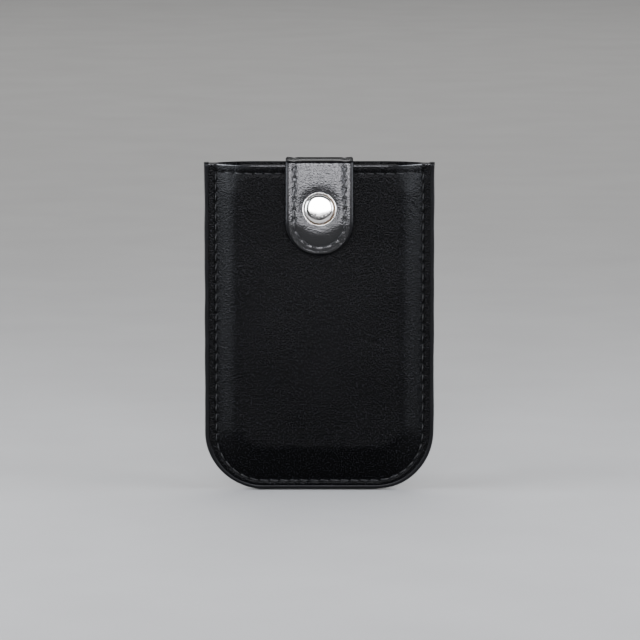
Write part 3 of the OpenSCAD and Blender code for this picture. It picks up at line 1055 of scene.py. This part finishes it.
def make_sleeves():
    for k in range(1, SLEEVES + 1):
        body = f"sleeve_{k}"
        back, front = f"sleeve_{k}_back", f"sleeve_{k}_front"
        half = high(back)[0] - LEAF_IN
        bottom = low(back)[2]
        r = SLEEVE_CORNER - LEAF_IN
        rear_leaf = leaf(
            f"sleeve_{k}_rear_leaf", half, bottom, high(back)[2], r, SLEEVE_TOP_CORNER,
            low(back)[1], high(back)[1],
        )
        place(rear_leaf, body, "sleeve_leather", back)
        front_leaf = leaf(
            f"sleeve_{k}_front_leaf", half, bottom, high(front)[2], r, 0.6,
            low(front)[1], high(front)[1], SLEEVE_ROW,
        )
        place(front_leaf, body, "sleeve_leather", front)
        edges = band(
            f"sleeve_{k}_turned_edge", half - 0.05, bottom + 0.05, high(front)[2], r, EDGE_BAND,
            high(front)[1], low(back)[1],
        )
        place(edges, body, "sleeve_leather", f"sleeve_{k}_edges")
        spots = sleeve_spots(half, bottom, high(front)[2], r, SLEEVE_ROW, low(front)[1] + 0.07)
        stitches(
            f"sleeve_{k}_thread", spots, body, f"sleeve_{k}_stitching",
            length=1.9, radius=0.1, sink=0.06, arch=0.07,
        )


def ribbon(name, route, centres, width, thickness):
    """A flat ribbon swept along a route of (y, z) points, once for each centre in X."""
    route = np.array(route, float)
    steps = np.gradient(route, axis=0)
    steps /= np.linalg.norm(steps, axis=1)[:, None]
    along = np.concatenate([[0], np.cumsum(np.linalg.norm(np.diff(route, axis=0), axis=1))])
    across = np.linspace(-0.5, 0.5, 9)
    verts, faces, uvs = [], [], []
    for centre in centres:
        start = len(verts)
        for (y, z), (dy, dz), s in zip(route, steps, along):
            ring = [(c * width, thickness / 2 * (1 - abs(2 * c) ** 6 * 0.7)) for c in across]
            ring += [(x, -t) for x, t in reversed(ring)]
            for x, t in ring:
                verts.append((centre + x, y - dz * t, z + dy * t))
                uvs.append((x, s))
        n = 2 * len(across)
        for i in range(len(route) - 1):
            for j in range(n):
                k = (j + 1) % n
                a, b = start + i * n, start + (i + 1) * n
                faces.append((a + j, a + k, b + k, b + j))
        faces.append(tuple(start + j for j in reversed(range(n))))
        faces.append(tuple(start + (len(route) - 1) * n + j for j in range(n)))
    return add_mesh(name, verts, faces, uvs, RIBBON)


def smooth_route(points, per_leg=6):
    """A Catmull-Rom curve through a few points."""
    p = np.array([points[0]] + list(points) + [points[-1]], float)
    out = []
    for i in range(1, len(p) - 2):
        for j in range(per_leg):
            t = j / per_leg
            out.append(
                0.5 * (
                    2 * p[i] + (p[i + 1] - p[i - 1]) * t
                    + (2 * p[i - 1] - 5 * p[i] + 4 * p[i + 1] - p[i + 2]) * t**2
                    + (3 * p[i] - p[i - 1] - 3 * p[i + 1] + p[i + 2]) * t**3
                )
            )
    out.append(p[-2])
    return out


def sleeve_middle(k):
    return (high(f"sleeve_{k}_back")[1] + low(f"sleeve_{k}_front")[1]) / 2


def make_ribbons():
    bottom = low("sleeve_1_back")[2]
    for k in range(1, SLEEVES):
        near, far = sleeve_middle(k + 1), sleeve_middle(k)
        r = (far - near) / 2
        turn_z = low(f"link_tape_{k}")[2] + r + 0.15
        route = [(near, bottom + 0.3), (near, (bottom + turn_z) / 2)]
        for i in range(13):
            a = math.pi + math.pi * i / 12
            route.append((near + r + r * math.cos(a), turn_z + r * math.sin(a)))
        route += [(far, (bottom + turn_z) / 2), (far, bottom + 0.3)]
        offset = 10 if k % 2 == 1 else 20
        tape = ribbon(f"link_ribbon_{k}", route, (-offset, offset), 6.0, TAPE_T)
        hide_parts(f"link_tape_{k}")
        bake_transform(tape)
    top = (sleeve_middle(SLEEVES), bottom + 0.2)
    folds = [(0, 5.3), (0.4, 7.3), (2.4, 9.2), (-3.2, 10.4), (2.0, 11.8), (-3.1, 12.6), top]
    tape = ribbon("anchor_ribbon", smooth_route(folds), (0,), 10.0, TAPE_T)
    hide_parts(f"link_tape_{SLEEVES}")
    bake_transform(tape)


# ---------------------------------------------------------------- stage, lights and camera

def make_floor():
    mesh = bpy.data.meshes.new("floor")
    reach = 6.0
    corners = [(-reach, -reach, 0), (reach, -reach, 0), (reach, reach, 0), (-reach, reach, 0)]
    mesh.from_pydata(corners, [], [(0, 1, 2, 3)])
    mesh.materials.append(table_top("table_top"))
    floor = bpy.data.objects.new("floor", mesh)
    bpy.context.collection.objects.link(floor)
    floor.location.z = -0.0003


def softbox(name, place_at, look_at, width, height, power, tint=(1, 1, 1)):
    light = bpy.data.lights.new(name, "AREA")
    light.shape = "RECTANGLE"
    light.size, light.size_y = width, height
    light.energy = power
    light.color = tint
    lamp = bpy.data.objects.new(name, light)
    lamp.location = place_at
    lamp.rotation_euler = (Vector(look_at) - Vector(place_at)).to_track_quat("-Z", "Y").to_euler()
    lamp.visible_camera = False
    bpy.context.collection.objects.link(lamp)
    return lamp


# Each side box: degrees away from the camera's side, width in metres, and watts.
SIDE_BOXES = ((80, 0.24, 5.4), (62, 0.2, 3.2), (46, 0.2, 1.1))
SIDE_REACH = 0.56
SIDE_Z = 0.28
SIDE_TINT = (0.88, 0.92, 1.0)


def make_lights():
    """A high front softbox for strap and snap, graded side boxes for the shoulders, a wide top."""
    softbox("front_softbox", (0.0, -1.7, 0.63), (0, 0, 0.09), 0.9, 0.5, 38, (0.94, 0.94, 1.0))
    for side, name, level in ((-1, "left", 1.0), (1, "right", 0.9)):
        for i, (azimuth, width, power) in enumerate(SIDE_BOXES):
            angle = math.radians(azimuth)
            spot = (side * SIDE_REACH * math.sin(angle), -SIDE_REACH * math.cos(angle), SIDE_Z)
            softbox(
                f"{name}_softbox_{i}", spot, (0, 0, SIDE_Z), width, 0.4, power * level, SIDE_TINT
            )
    softbox("overhead_softbox", (0, 1.6, 1.9), (0, 1.3, 0), 3.4, 3.0, 84)
    world = bpy.data.worlds.new("studio")
    world.use_nodes = True
    world.node_tree.nodes["Background"].inputs["Color"].default_value = (0.8, 0.82, 0.86, 1)
    world.node_tree.nodes["Background"].inputs["Strength"].default_value = 0.06
    bpy.context.scene.world = world


def make_camera():
    """A long lens a little above the object, so that its sides stay parallel."""
    elevation = math.radians(7.3)
    distance = 1.6
    view_width = 0.2095
    aim = Vector((0.0002, 0, 0.0558))
    camera = bpy.data.cameras.new("camera")
    camera.sensor_width = 36
    camera.lens = 36 * distance / view_width
    camera.clip_end = 50
    holder = bpy.data.objects.new("camera", camera)
    holder.location = aim + Vector((0, -math.cos(elevation), math.sin(elevation))) * distance
    holder.rotation_euler = (aim - holder.location).to_track_quat("-Z", "Y").to_euler()
    bpy.context.collection.objects.link(holder)
    bpy.context.scene.camera = holder


make_camera()
make_floor()
make_lights()
make_pouch()
make_edge()
make_pouch_stitches()
make_strap()
make_snap()
make_sleeves()
make_ribbons()

bpy.context.view_layer.update()
